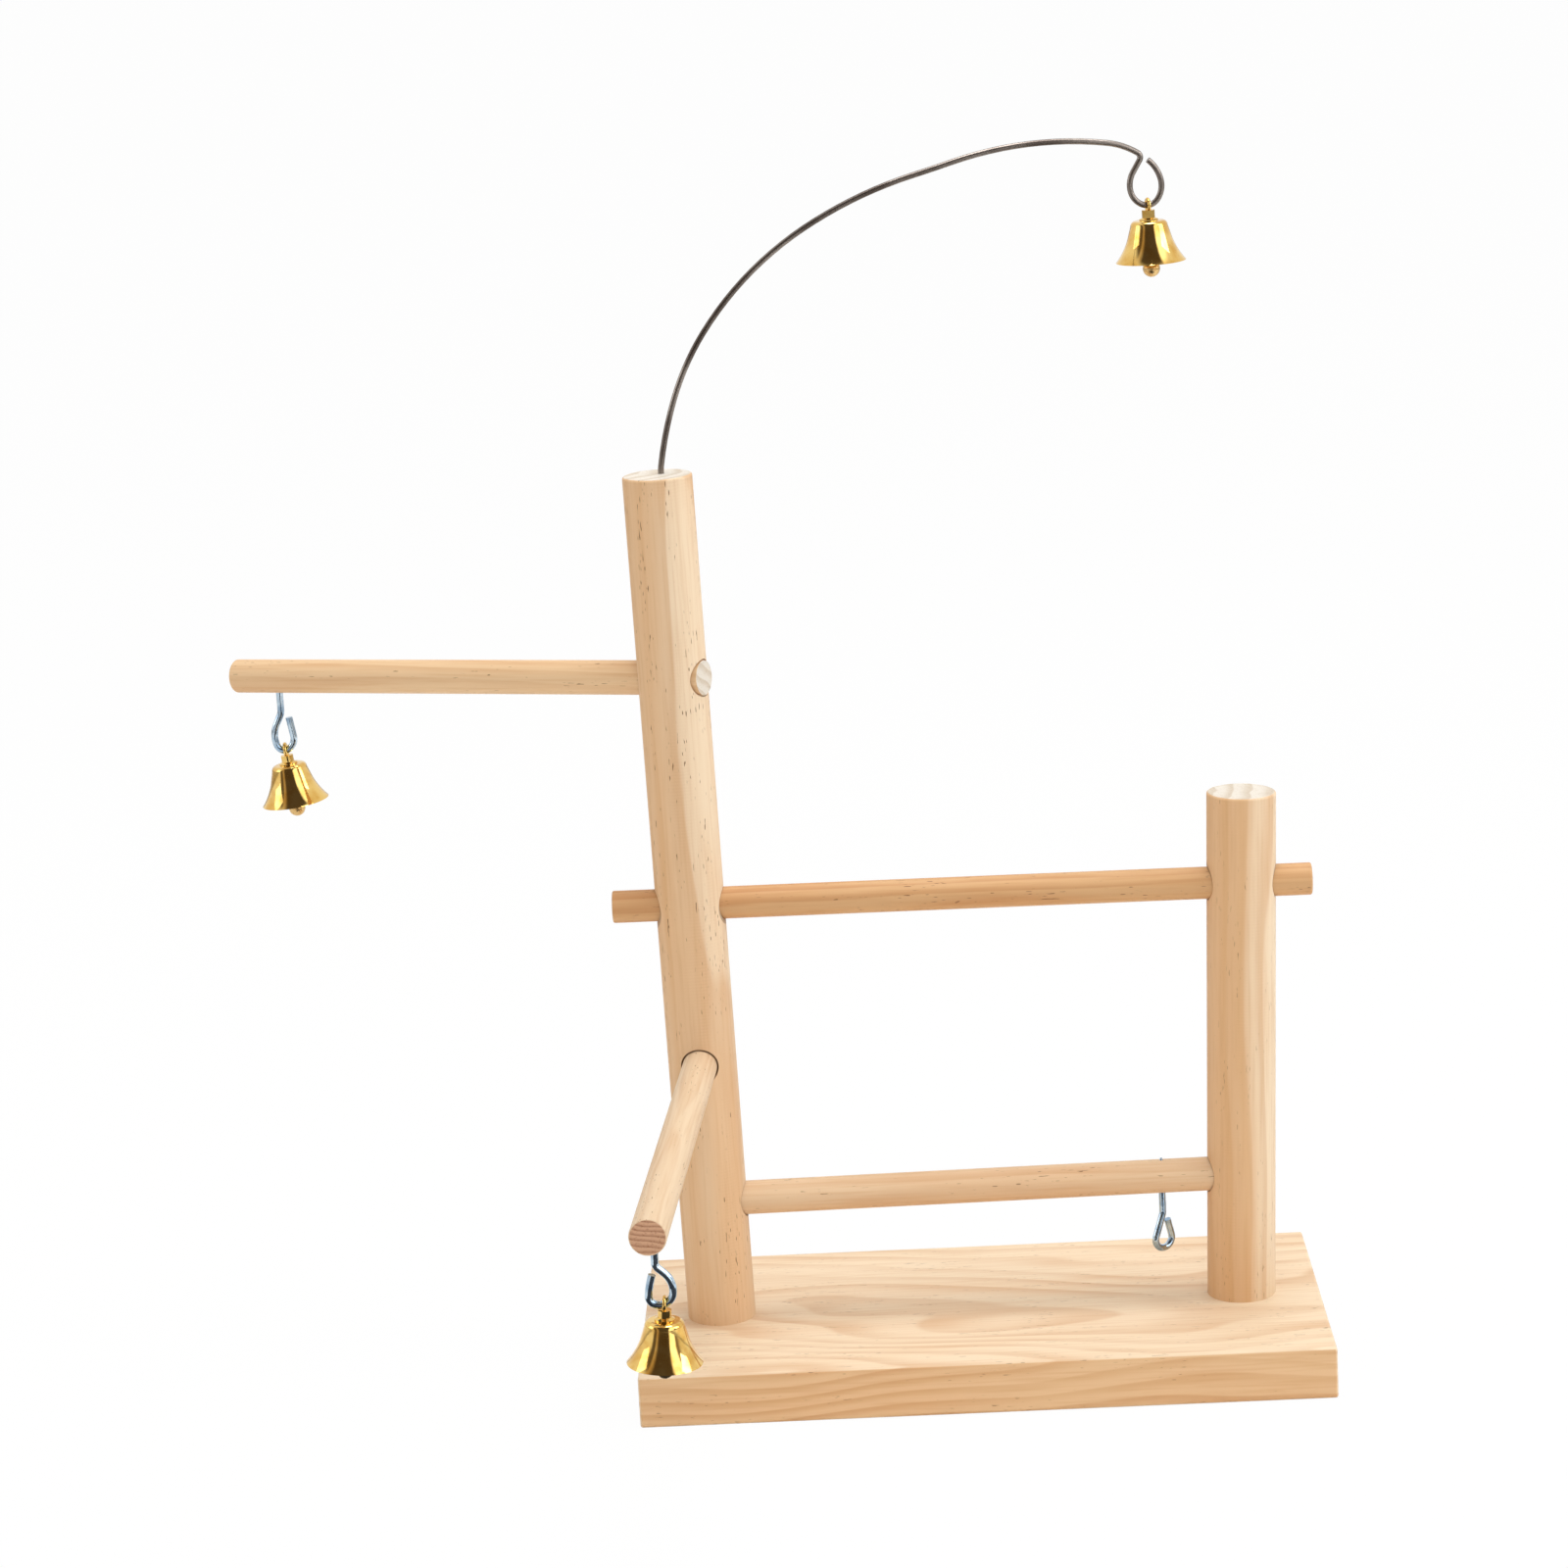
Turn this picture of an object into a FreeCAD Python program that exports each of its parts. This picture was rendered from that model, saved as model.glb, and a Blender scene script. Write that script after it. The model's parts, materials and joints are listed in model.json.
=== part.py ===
"""Tabletop play stand for parrots: a pine board, two round posts, four dowels and three hanging bells.

Millimetres, +Z up. The origin is the centre of the board's underside. +X runs along the board
from the tall post to the short one, and -Y is the side that the front perch points to.
"""

import FreeCAD
import Part

import math
import os

from FreeCAD import Rotation, Vector

# ---- Base board ------------------------------------------------------------------------------
BOARD_LENGTH = 250.0
BOARD_DEPTH = 125.0
BOARD_THICKNESS = 19.0
BOARD_EDGE_ROUND = 1.0
POST_FROM_BOARD_END = 28.7

# ---- Posts: round stock, set a little out of plumb ---------------------------------------------
POST_DIAMETER = 25.0
POST_TOP_ROUND = 0.9
TALL_POST_HEIGHT = 315.7
TALL_POST_LEAN = -1.08
TALL_POST_LEAN_BACK = 0.27
SHORT_POST_HEIGHT = 190.5
SHORT_POST_LEAN = 1.51
SHORT_POST_LEAN_BACK = 0.0

# ---- Crossbars: heights are above the board, along each post's axis ------------------------------
UPPER_BAR_DIAMETER = 11.7
UPPER_BAR_HEIGHT_TALL = 157.8
UPPER_BAR_HEIGHT_SHORT = 156.9
UPPER_BAR_LEFT_REACH = 28.2
UPPER_BAR_RIGHT_REACH = 25.4
LOWER_BAR_DIAMETER = 12.4
LOWER_BAR_HEIGHT_TALL = 44.9
LOWER_BAR_HEIGHT_SHORT = 46.4
LOWER_BAR_SOCKET = 9.0
SOCKET_END_GAP = 0.5

# ---- Perches: reach is from the tall post's axis, bearing is seen from above, from +X ---------------
PERCH_DIAMETER = 12.5
LEFT_PERCH_HEIGHT = 241.9
LEFT_PERCH_BEARING = 155.4
LEFT_PERCH_RISE = -2.4
LEFT_PERCH_REACH = 184.8
FRONT_PERCH_HEIGHT = 99.1
FRONT_PERCH_BEARING = 266.9
FRONT_PERCH_RISE = 1.0
FRONT_PERCH_REACH = 205.0
PERCH_BACK_PROUD = 0.1
DOWEL_END_ROUND = 0.7

# ---- How the dowels sit in the posts -----------------------------------------------------------
GLUE_GAP = 0.05
MOUTH_WEAR = 0.6
MOUTH_WEAR_DEPTH = 1.2

# ---- Wood screws up through the board into the posts ----------------------------------------------
SCREW_DIAMETER = 4.0
SCREW_LENGTH = 44.0
SCREW_HEAD_DIAMETER = 8.0
SCREW_HEAD_RIM = 0.5
SCREW_HEAD_CONE = 2.2
SCREW_POINT = 4.0
SCREW_SUNK = 0.6
SCREW_GAP = 0.08
RECESS_LENGTH = 4.6
RECESS_WIDTH = 0.9
RECESS_DEPTH = 1.5

# ---- Screw eyes: bent steel wire with a pointed screw end -------------------------------------------
# Each bend is (length along the wire, turn in degrees), starting where the plumb shank ends.
EYE_WIRE = 2.6
EYE_POINT = 3.0
EYE_POINT_TIP = 0.35
LEFT_EYE_FROM_END = 18.1
LEFT_EYE_EMBED = 11.4
LEFT_EYE_DROP = 6.6
LEFT_EYE_BENDS = ((2.6, 25.0), (3.7, 0.0), (8.1, -44.7), (5.5, -106.0), (5.4, -63.4), (7.4, -1.0))
FRONT_EYE_FROM_END = 16.5
FRONT_EYE_EMBED = 11.4
FRONT_EYE_DROP = 7.9
FRONT_EYE_BENDS = ((2.1, 47.0), (2.8, 0.0), (7.3, -52.3), (8.1, -100.3), (4.3, -80.4), (7.2, -11.5))
LOWER_EYE_FROM_SHORT_POST = 29.3
LOWER_EYE_BEARING = 33.0
LOWER_EYE_EMBED = 13.2
LOWER_EYE_DROP = 7.4
LOWER_EYE_BENDS = ((1.2, 21.5), (8.6, 0.0), (14.0, -217.0), (6.2, 0.0))

# ---- Wire arm: spring steel pushed into the top of the tall post ------------------------------------
# Each bend is (length along the wire, turn in degrees), the turn being clockwise as seen from -Y.
ARM_WIRE = 2.15
ARM_SOCKET_DEPTH = 22.0
ARM_SOCKET_GAP = 0.08
ARM_HOLE_RIGHT = 1.4
ARM_HOLE_BACK = 1.7
ARM_BEARING = 10.0
ARM_FOOT_BEND = (3.0, 10.4)
ARM_BENDS = (
    (24.2, 10.2), (25.5, 15.7), (51.2, 24.9), (43.3, 16.1), (14.5, -1.5), (57.0, 24.2), (12.0, 23.7))
ARM_CROOK = (3.0, 88.7)
ARM_LOOP_RUN = (4.9, 0.0)
ARM_LOOP_BENDS = ((7.3, -46.7), (6.5, -53.6), (6.1, -74.6), (7.4, -50.3), (8.6, -36.6))

# ---- Bells: heights run down from the wire that the hanger ring is threaded on -----------------------
RING_GAP = 0.4
RING_WIRE = 1.3
COLLAR_OVER_RING = 1.1
COLLAR_FOOT = 4.4
COLLAR_DIAMETER = 4.6
FLANGE_TOP = 4.9
FLANGE_DIAMETER = 6.8
CROWN_DROP = 5.4
BELL_HEIGHT = 14.6
BELL_WALL = 1.1
CROWN_DIAMETER = 13.3
CROWN_ROUND = 1.8
WAIST_DROP = 6.4
WAIST_DIAMETER = 16.0
RIM_DIAMETER = 25.1
STEM_DIAMETER = 2.4
STEM_GAP = 0.05
RIVET_DIAMETER = 5.4
RIVET_THICKNESS = 0.6
HOOK_WIRE = 1.2
HOOK_RADIUS = 1.9
HOOK_DROP = 4.0
# How far round each loop its bell has slid from the bottom, and how far it tips, in degrees.
LEFT_BELL_SLIDE = 6.5
LEFT_BELL_TIP = 6.5
FRONT_BELL_SLIDE = 19.0
FRONT_BELL_TIP = -2.7
WIRE_BELL_SLIDE = 2.0
WIRE_BELL_TIP = 1.5

# ---- Clappers: a ball on a wire whose ring hangs on the hook inside the bell --------------------------
CLAPPER_WIRE = 1.0
CLAPPER_RING_GAP = 0.25
CLAPPER_BALL = 6.2
CLAPPER_BELOW_RIM = 2.6
CLAPPER_SEAT = 1.5
CLAPPER_SEAT_GAP = 0.05

UP = Vector(0, 0, 1)
RIGHT = Vector(1, 0, 0)
BACK = Vector(0, 1, 0)


def bearing_vector(bearing, rise=0.0):
    """Unit vector at a bearing seen from above, from +X towards +Y, and rising by rise degrees."""
    turn = math.radians(bearing)
    lift = math.radians(rise)
    flat = math.cos(lift)
    return Vector(flat * math.cos(turn), flat * math.sin(turn), math.sin(lift))


def post_line(foot_x, lean, lean_back):
    """A post's foot on the board's top face and the unit vector of its axis."""
    axis = Vector(math.tan(math.radians(lean)), math.tan(math.radians(lean_back)), 1.0)
    return Vector(foot_x, 0, BOARD_THICKNESS), axis.normalize()


POST_FROM_CENTRE = BOARD_LENGTH / 2 - POST_FROM_BOARD_END
TALL_FOOT, TALL_AXIS = post_line(-POST_FROM_CENTRE, TALL_POST_LEAN, TALL_POST_LEAN_BACK)
SHORT_FOOT, SHORT_AXIS = post_line(POST_FROM_CENTRE, SHORT_POST_LEAN, SHORT_POST_LEAN_BACK)


def on_tall_post(height):
    return TALL_FOOT + TALL_AXIS * height


def on_short_post(height):
    return SHORT_FOOT + SHORT_AXIS * height


def rod(start, end, diameter, round_start=0.0, round_end=0.0):
    """A round bar between two points, with its end edges eased where asked."""
    axis = end - start
    solid = Part.makeCylinder(diameter / 2, axis.Length, start, axis)
    for centre, ease in ((start, round_start), (end, round_end)):
        rims = [e for e in solid.Edges if e.isClosed() and e.CenterOfMass.isEqual(centre, 1e-6)]
        if ease > 0:
            solid = solid.makeFillet(ease, rims)
    return solid


def revolve(points_and_arcs):
    """A solid of revolution about Z from a closed outline in the XZ plane."""
    face = Part.Face(Part.Wire(points_and_arcs))
    return face.revolve(Vector(0, 0, 0), UP, 360)


def polygon(points):
    ring = list(points) + [points[0]]
    return [Part.LineSegment(a, b).toShape() for a, b in zip(ring, ring[1:])]


# ---- Lines that several pieces share -----------------------------------------------------------
UPPER_BAR_AT_TALL = on_tall_post(UPPER_BAR_HEIGHT_TALL)
UPPER_BAR_AT_SHORT = on_short_post(UPPER_BAR_HEIGHT_SHORT)
UPPER_BAR_DIRECTION = (UPPER_BAR_AT_SHORT - UPPER_BAR_AT_TALL).normalize()
LOWER_BAR_AT_TALL = on_tall_post(LOWER_BAR_HEIGHT_TALL)
LOWER_BAR_AT_SHORT = on_short_post(LOWER_BAR_HEIGHT_SHORT)
LOWER_BAR_DIRECTION = (LOWER_BAR_AT_SHORT - LOWER_BAR_AT_TALL).normalize()
LEFT_PERCH_ROOT = on_tall_post(LEFT_PERCH_HEIGHT)
LEFT_PERCH_DIRECTION = bearing_vector(LEFT_PERCH_BEARING, LEFT_PERCH_RISE)
FRONT_PERCH_ROOT = on_tall_post(FRONT_PERCH_HEIGHT)
FRONT_PERCH_DIRECTION = bearing_vector(FRONT_PERCH_BEARING, FRONT_PERCH_RISE)
ARM_MOUTH = on_tall_post(TALL_POST_HEIGHT) + RIGHT * ARM_HOLE_RIGHT + BACK * ARM_HOLE_BACK
ARM_ACROSS = bearing_vector(ARM_BEARING)


# ---- Bent wire ---------------------------------------------------------------------------------
def walk(start, across, heading, bends):
    """Follows bends in the plane of across and UP. heading is in degrees from UP towards across.
    Returns one record per bend: its ends, middle, centre and headings."""
    steps = []
    point = start
    for length, turn in bends:
        h = math.radians(heading)
        if turn == 0:
            end = point + (across * math.sin(h) + UP * math.cos(h)) * length
            steps.append({"start": point, "end": end, "middle": None, "heading": heading, "turn": 0.0})
        else:
            radius = length / math.radians(turn)
            centre = point + (across * math.cos(h) - UP * math.sin(h)) * radius
            ends = []
            for part in (0.5, 1.0):
                a = math.radians(heading + turn * part)
                ends.append(centre - (across * math.cos(a) - UP * math.sin(a)) * radius)
            middle, end = ends
            steps.append({"start": point, "end": end, "middle": middle, "heading": heading,
                          "turn": turn, "centre": centre, "radius": abs(radius)})
        point = end
        heading += turn
    return steps


def wire_edges(steps):
    edges = []
    for step in steps:
        if step["middle"] is None:
            edges.append(Part.LineSegment(step["start"], step["end"]).toShape())
        else:
            edges.append(Part.Arc(step["start"], step["middle"], step["end"]).toShape())
    return edges


def bent_wire(steps, diameter):
    """A round wire swept along the steps."""
    edges = wire_edges(steps)
    tangent = edges[0].tangentAt(edges[0].FirstParameter)
    section = Part.Wire(Part.Circle(steps[0]["start"], tangent, diameter / 2).toShape())
    return Part.Wire(edges).makePipeShell([section], True, False)


def lowest_bend(steps):
    """The bend that the wire runs level in at the bottom of its loop: centre and radius."""
    for step in steps:
        ahead = step["heading"] + step["turn"]
        if step["turn"] < 0 and ahead < 90 <= step["heading"]:
            return step["centre"], step["radius"]
    raise ValueError("the loop has no level stretch at its bottom")


# ---- Screw eyes --------------------------------------------------------------------------------
def eye_steps(top, across, drop, embed, bends):
    """The eye's centre line from its screw end to its free end, the first bends leading away from
    across. top is where the shank enters the wood."""
    shank = (drop + embed - EYE_POINT, 0)
    return walk(top + UP * (embed - EYE_POINT), across, 180.0, (shank,) + bends)


def screw_eye(steps):
    root = steps[0]["start"]
    point = Part.makeCone(EYE_WIRE / 2, EYE_POINT_TIP, EYE_POINT, root, UP)
    return bent_wire(steps, EYE_WIRE).fuse(point).removeSplitter()


def eye_hole(top, embed):
    """The hole that the eye's screw end fills, from below the wood up to its point."""
    radius = EYE_WIRE / 2 + GLUE_GAP
    root = top + UP * (embed - EYE_POINT)
    start = top - UP * PERCH_DIAMETER
    shank = Part.makeCylinder(radius, (root - start).Length, start, UP)
    return shank.fuse(Part.makeCone(radius, EYE_POINT_TIP + GLUE_GAP, EYE_POINT + GLUE_GAP, root, UP))


def under_dowel(root, direction, along, diameter):
    """Where a plumb line through the dowel's axis leaves its underside, at a distance along it."""
    slope = math.hypot(direction.x, direction.y)
    return root + direction * along - UP * (diameter / 2 / slope)


LEFT_EYE_TOP = under_dowel(
    LEFT_PERCH_ROOT, LEFT_PERCH_DIRECTION, LEFT_PERCH_REACH - LEFT_EYE_FROM_END, PERCH_DIAMETER)
FRONT_EYE_TOP = under_dowel(
    FRONT_PERCH_ROOT, FRONT_PERCH_DIRECTION, FRONT_PERCH_REACH - FRONT_EYE_FROM_END, PERCH_DIAMETER)
LOWER_EYE_TOP = under_dowel(
    LOWER_BAR_AT_SHORT, LOWER_BAR_DIRECTION, -LOWER_EYE_FROM_SHORT_POST, LOWER_BAR_DIAMETER)
LEFT_EYE_STEPS = eye_steps(LEFT_EYE_TOP, RIGHT, LEFT_EYE_DROP, LEFT_EYE_EMBED, LEFT_EYE_BENDS)
FRONT_EYE_STEPS = eye_steps(FRONT_EYE_TOP, -RIGHT, FRONT_EYE_DROP, FRONT_EYE_EMBED, FRONT_EYE_BENDS)
LOWER_EYE_STEPS = eye_steps(
    LOWER_EYE_TOP, bearing_vector(LOWER_EYE_BEARING), LOWER_EYE_DROP, LOWER_EYE_EMBED, LOWER_EYE_BENDS)


# ---- Wire arm ----------------------------------------------------------------------------------
def arm_steps():
    foot_turn = TALL_POST_LEAN
    inside = ARM_ACROSS * math.sin(math.radians(foot_turn)) + UP * math.cos(math.radians(foot_turn))
    start = ARM_MOUTH - inside * (ARM_SOCKET_DEPTH - SOCKET_END_GAP)
    run = (ARM_SOCKET_DEPTH - SOCKET_END_GAP, 0)
    bends = (run, ARM_FOOT_BEND) + ARM_BENDS + (ARM_CROOK, ARM_LOOP_RUN) + ARM_LOOP_BENDS
    return walk(start, ARM_ACROSS, foot_turn, bends)


ARM_STEPS = arm_steps()
ARM_PIN_AXIS = (ARM_MOUTH - ARM_STEPS[0]["start"]).normalize()


def wire_arm():
    return bent_wire(ARM_STEPS, ARM_WIRE)


def arm_hole():
    bottom = ARM_MOUTH - ARM_PIN_AXIS * ARM_SOCKET_DEPTH
    top = ARM_MOUTH + ARM_PIN_AXIS * ARM_WIRE
    return rod(bottom, top, ARM_WIRE + 2 * ARM_SOCKET_GAP)


# ---- Wood screws -------------------------------------------------------------------------------
def screw_outline(gap):
    """Half outline of a countersunk screw standing on its head, widened by gap all round."""
    head = SCREW_HEAD_DIAMETER / 2 + gap
    core = SCREW_DIAMETER / 2 + gap
    neck = SCREW_HEAD_RIM + SCREW_HEAD_CONE
    tip = SCREW_LENGTH + gap
    return [Vector(r, 0, z) for r, z in (
        (0, 0), (head, 0), (head, SCREW_HEAD_RIM), (core, neck), (core, tip - SCREW_POINT), (0, tip))]


def post_screw(foot):
    screw = revolve(polygon(screw_outline(0.0)))
    for length, width in ((RECESS_LENGTH, RECESS_WIDTH), (RECESS_WIDTH, RECESS_LENGTH)):
        corner = Vector(-length / 2, -width / 2, 0)
        screw = screw.cut(Part.makeBox(length, width, RECESS_DEPTH, corner))
    return screw.translate(Vector(foot.x, foot.y, SCREW_SUNK))


def screw_hole(foot):
    """The countersunk hole, open at the board's underside."""
    hole = revolve(polygon(screw_outline(SCREW_GAP)))
    mouth = Part.makeCylinder(SCREW_HEAD_DIAMETER / 2 + SCREW_GAP, 2 * SCREW_SUNK, Vector(0, 0, -SCREW_SUNK))
    return hole.fuse(mouth).translate(Vector(foot.x, foot.y, SCREW_SUNK))


# ---- Board and posts ---------------------------------------------------------------------------
def base_board():
    corner = Vector(-BOARD_LENGTH / 2, -BOARD_DEPTH / 2, 0)
    board = Part.makeBox(BOARD_LENGTH, BOARD_DEPTH, BOARD_THICKNESS, corner)
    board = board.makeFillet(BOARD_EDGE_ROUND, board.Edges)
    for foot in (TALL_FOOT, SHORT_FOOT):
        board = board.cut(screw_hole(foot))
    return board


def bare_post(foot, axis, height):
    """A post whose foot is cut to sit flat on the board."""
    spare = axis * POST_DIAMETER
    post = rod(foot - spare, foot + axis * height, POST_DIAMETER, round_end=POST_TOP_ROUND)
    corner = Vector(foot.x - POST_DIAMETER, foot.y - POST_DIAMETER, BOARD_THICKNESS - 2 * POST_DIAMETER)
    below = Part.makeBox(2 * POST_DIAMETER, 2 * POST_DIAMETER, 2 * POST_DIAMETER, corner)
    return post.cut(below).cut(screw_hole(foot))


def worn_mouth(foot, axis, start, end, diameter):
    """The broken edge of a dowel hole: a shallow ring just under the post's surface."""
    ring = rod(start, end, diameter + 2 * MOUTH_WEAR)
    tall = axis * (TALL_POST_HEIGHT + POST_DIAMETER)
    return ring.cut(rod(foot - axis * POST_DIAMETER, foot + tall, POST_DIAMETER - 2 * MOUTH_WEAR_DEPTH))


def drill(post, foot, axis, start, end, diameter):
    """Bores a dowel hole from start to end and breaks its mouths."""
    post = post.cut(rod(start, end, diameter + 2 * GLUE_GAP))
    return post.cut(worn_mouth(foot, axis, start, end, diameter))


def lower_bar_ends(extra=0.0):
    """The lower bar's two ends inside the posts, each moved outwards by extra."""
    inset = POST_DIAMETER / 2 - LOWER_BAR_SOCKET
    left = LOWER_BAR_AT_TALL + LOWER_BAR_DIRECTION * (inset - extra)
    right = LOWER_BAR_AT_SHORT - LOWER_BAR_DIRECTION * (inset - extra)
    return left, right


def tall_post():
    post = bare_post(TALL_FOOT, TALL_AXIS, TALL_POST_HEIGHT)
    through = POST_DIAMETER
    for root, direction, diameter in (
        (UPPER_BAR_AT_TALL, UPPER_BAR_DIRECTION, UPPER_BAR_DIAMETER),
        (LEFT_PERCH_ROOT, LEFT_PERCH_DIRECTION, PERCH_DIAMETER),
        (FRONT_PERCH_ROOT, FRONT_PERCH_DIRECTION, PERCH_DIAMETER),
    ):
        start = root - direction * through
        post = drill(post, TALL_FOOT, TALL_AXIS, start, root + direction * through, diameter)
    left, right = lower_bar_ends(extra=SOCKET_END_GAP)
    post = drill(post, TALL_FOOT, TALL_AXIS, left, left + LOWER_BAR_DIRECTION * through, LOWER_BAR_DIAMETER)
    return post.cut(arm_hole())


def short_post():
    post = bare_post(SHORT_FOOT, SHORT_AXIS, SHORT_POST_HEIGHT)
    through = UPPER_BAR_DIRECTION * POST_DIAMETER
    start = UPPER_BAR_AT_SHORT - through
    post = drill(post, SHORT_FOOT, SHORT_AXIS, start, UPPER_BAR_AT_SHORT + through, UPPER_BAR_DIAMETER)
    left, right = lower_bar_ends(extra=SOCKET_END_GAP)
    inner = right - LOWER_BAR_DIRECTION * POST_DIAMETER
    return drill(post, SHORT_FOOT, SHORT_AXIS, right, inner, LOWER_BAR_DIAMETER)


# ---- Dowels ------------------------------------------------------------------------------------
def upper_crossbar():
    left = UPPER_BAR_AT_TALL - UPPER_BAR_DIRECTION * UPPER_BAR_LEFT_REACH
    right = UPPER_BAR_AT_SHORT + UPPER_BAR_DIRECTION * UPPER_BAR_RIGHT_REACH
    return rod(left, right, UPPER_BAR_DIAMETER, DOWEL_END_ROUND, DOWEL_END_ROUND)


def lower_crossbar():
    left, right = lower_bar_ends()
    return rod(left, right, LOWER_BAR_DIAMETER).cut(eye_hole(LOWER_EYE_TOP, LOWER_EYE_EMBED))


def perch(root, direction, reach, eye_top, embed):
    """A perch right through the post, its back end cut flush with the far side."""
    back = root - direction * (POST_DIAMETER / 2 + PERCH_BACK_PROUD)
    dowel = rod(back, root + direction * reach, PERCH_DIAMETER, round_end=DOWEL_END_ROUND)
    return dowel.cut(eye_hole(eye_top, embed))


# ---- Bells -------------------------------------------------------------------------------------
def bell_outline(inset):
    """Half outline of the bell's outer face, or of its hollow when inset is the wall."""
    top = -CROWN_DROP - inset
    rim_z = -CROWN_DROP - BELL_HEIGHT
    waist = Vector(WAIST_DIAMETER / 2 - inset, 0, -CROWN_DROP - WAIST_DROP)
    rim = Vector(RIM_DIAMETER / 2 - inset, 0, rim_z)
    shoulder_round = CROWN_ROUND - inset / 2
    crown = CROWN_DIAMETER / 2 - inset
    shoulder = Vector(crown, 0, top - shoulder_round)
    along = (waist - shoulder).normalize()
    chord = rim - waist
    normal = Vector(along.z, 0, -along.x)
    radius = chord.dot(chord) / (2 * chord.dot(normal))
    centre = waist + normal * radius
    half = (waist + rim) * 0.5 - centre
    flare_middle = centre + half.normalize() * abs(radius)
    diagonal = shoulder_round * math.sqrt(0.5)
    round_middle = Vector(crown - shoulder_round + diagonal, 0, top - shoulder_round + diagonal)
    round_start = Vector(crown - shoulder_round, 0, top)
    return [
        Part.LineSegment(Vector(0, 0, top), round_start).toShape(),
        Part.Arc(round_start, round_middle, shoulder).toShape(),
        Part.LineSegment(shoulder, waist).toShape(),
        Part.Arc(waist, flare_middle, rim).toShape(),
        Part.LineSegment(rim, Vector(0, 0, rim_z)).toShape(),
        Part.LineSegment(Vector(0, 0, rim_z), Vector(0, 0, top)).toShape(),
    ]


def bell_shell():
    """The turned brass bell: flat crown, rounded shoulder, straight wall and flared lip."""
    shell = revolve(bell_outline(0.0)).cut(revolve(bell_outline(BELL_WALL)))
    bore = Part.makeCylinder(STEM_DIAMETER / 2 + STEM_GAP, 2 * CROWN_DROP, Vector(0, 0, -2 * CROWN_DROP))
    return shell.cut(bore)


def bell_hanger(carrier_wire):
    """The ring on the carrying wire, its stepped neck, the stem through the crown and the hook inside."""
    hole = carrier_wire / 2 + RING_GAP
    ring = Part.makeTorus(hole + RING_WIRE / 2, RING_WIRE / 2, Vector(0, 0, 0), RIGHT)
    collar_top = hole + RING_WIRE - COLLAR_OVER_RING
    neck = revolve(polygon([Vector(r, 0, -drop) for r, drop in (
        (0, collar_top), (COLLAR_DIAMETER / 2, collar_top), (COLLAR_DIAMETER / 2, COLLAR_FOOT),
        (FLANGE_DIAMETER / 2, FLANGE_TOP), (FLANGE_DIAMETER / 2, CROWN_DROP), (0, CROWN_DROP))]))
    clear = Part.makeCylinder(hole, FLANGE_DIAMETER, Vector(-FLANGE_DIAMETER / 2, 0, 0), RIGHT)
    under_crown = -CROWN_DROP - BELL_WALL - STEM_GAP
    stem = Part.makeCylinder(
        STEM_DIAMETER / 2, -CROWN_DROP - under_crown, Vector(0, 0, under_crown))
    rivet = Part.makeCylinder(
        RIVET_DIAMETER / 2, RIVET_THICKNESS, Vector(0, 0, under_crown - RIVET_THICKNESS))
    hook_top = Vector(-HOOK_RADIUS, 0, under_crown - RIVET_THICKNESS / 2)
    leg = -hook_top.z - CROWN_DROP - HOOK_DROP + HOOK_RADIUS
    half_turn = (HOOK_RADIUS * math.pi, -180.0)
    hook = bent_wire(walk(hook_top, RIGHT, 180.0, ((-leg, 0), half_turn, (-leg, 0))), HOOK_WIRE)
    return ring.fuse(neck.cut(clear)).fuse([stem, rivet, hook]).removeSplitter()


def clapper_centre_drop():
    return CROWN_DROP + BELL_HEIGHT + CLAPPER_BELOW_RIM


def clapper_wire():
    """The clapper's ring and straight shank, ending inside the ball."""
    ring_radius = (HOOK_WIRE + CLAPPER_WIRE) / 2 + CLAPPER_RING_GAP
    pivot = Vector(0, 0, -CROWN_DROP - HOOK_DROP)
    ring = Part.makeTorus(ring_radius, CLAPPER_WIRE / 2, pivot, RIGHT)
    end = Vector(0, 0, -clapper_centre_drop() + CLAPPER_BALL / 2 - CLAPPER_SEAT)
    shank = rod(end, pivot - UP * ring_radius, CLAPPER_WIRE)
    return ring.fuse(shank).removeSplitter()


def clapper_ball():
    centre = Vector(0, 0, -clapper_centre_drop())
    ball = Part.makeSphere(CLAPPER_BALL / 2, centre)
    seat = rod(
        centre + UP * (CLAPPER_BALL / 2 - CLAPPER_SEAT - CLAPPER_SEAT_GAP),
        centre + UP * CLAPPER_BALL,
        CLAPPER_WIRE + 2 * CLAPPER_SEAT_GAP)
    return ball.cut(seat)


def bell_place(steps, right, slide, tip):
    """Where a bell hangs: slide degrees round the loop from its bottom, and tipped by tip degrees."""
    centre, radius = lowest_bend(steps)
    swing = math.radians(slide)
    hold = centre + (right * math.sin(swing) - UP * math.cos(swing)) * radius
    turn = math.radians(tip)
    along = right * math.cos(turn) + UP * math.sin(turn)
    upward = UP * math.cos(turn) - right * math.sin(turn)
    return FreeCAD.Placement(hold, Rotation(along, upward.cross(along), upward, "ZXY"))


BELLS = (
    ("left", bell_place(LEFT_EYE_STEPS, RIGHT, LEFT_BELL_SLIDE, LEFT_BELL_TIP), EYE_WIRE),
    ("front", bell_place(FRONT_EYE_STEPS, RIGHT, FRONT_BELL_SLIDE, FRONT_BELL_TIP), EYE_WIRE),
    ("wire", bell_place(ARM_STEPS, ARM_ACROSS, WIRE_BELL_SLIDE, WIRE_BELL_TIP), ARM_WIRE),
)


def placed(shape, place):
    moved = shape.copy()
    moved.Placement = place.multiply(moved.Placement)
    return moved


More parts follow.
